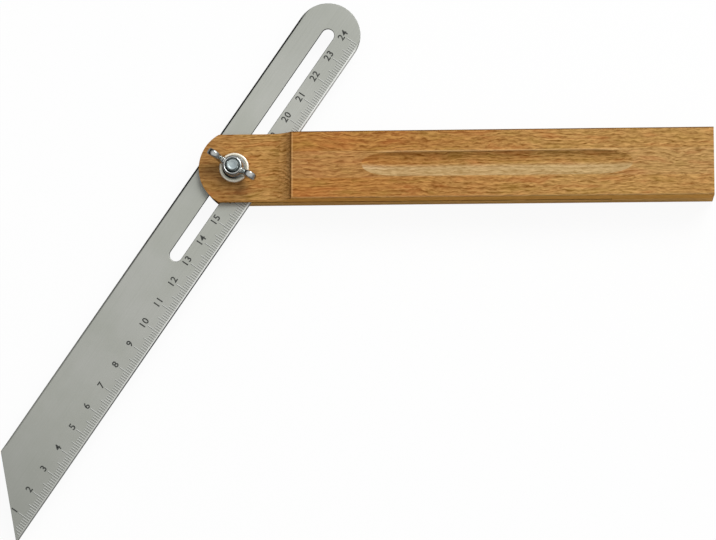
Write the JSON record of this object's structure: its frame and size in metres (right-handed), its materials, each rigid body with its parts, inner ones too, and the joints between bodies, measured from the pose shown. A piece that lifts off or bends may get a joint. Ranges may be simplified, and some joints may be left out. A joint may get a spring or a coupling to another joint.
{
  "type": "sliding bevel",
  "caption": "Joiner's sliding bevel: a slotted beech stock with a finger groove, and a graduated steel blade that swings and slides on a bolt clamped by a wing nut.",
  "frame": {"origin": "where the clamp bolt's axis meets the stock's flat back, in the middle of the bolt head's flush face", "axes": "+X along the stock from the bolt to the butt, +Y across the stock towards the blade's round end, +Z through the stock from its back to its grooved front and the wing nut"},
  "size_m": [0.2831, 0.2158, 0.0262],
  "materials": {
    "beech": "clear satin varnish over fine straight beech grain with short dark flecks",
    "blade_steel": "satin grey, with a light etched scale and dark numbers",
    "bolt_zinc": "bright zinc plate",
    "washer_zinc": "bright zinc plate",
    "nut_zinc": "bright zinc plate on a pressed wing nut"
  },
  "bodies": {
    "stock": {"stock": "beech"},
    "clamp_bolt": {"clamp_bolt": "bolt_zinc"},
    "blade": {"blade": "blade_steel"},
    "washer": {"washer": "washer_zinc"},
    "wing_nut": {"wing_nut": "nut_zinc"}
  },
  "joints": [
    {"name": "blade_swing", "type": "hinge", "parent": "stock", "child": "clamp_bolt", "pos_m": [0, 0, 0.01025], "axis": [0, 0, 1], "range_deg": [-223, 112]},
    {"name": "blade_slide", "type": "slide", "parent": "clamp_bolt", "child": "blade", "axis": [0.5664, 0.8241, 0], "range_m": [-0.065, 0.0415]},
    {"name": "nut_lift", "type": "slide", "parent": "clamp_bolt", "child": "washer", "axis": [0, 0, 1], "range_m": [0, 0.0016]},
    {"name": "nut_turn", "type": "hinge", "parent": "washer", "child": "wing_nut", "pos_m": [0, 0, 0.0157], "axis": [0, 0, 1], "range_deg": [0, 720.01]}
  ],
  "couplings": [
    {"joint": "nut_turn", "follows": "nut_lift", "rad_per_m": 7854}
  ]
}
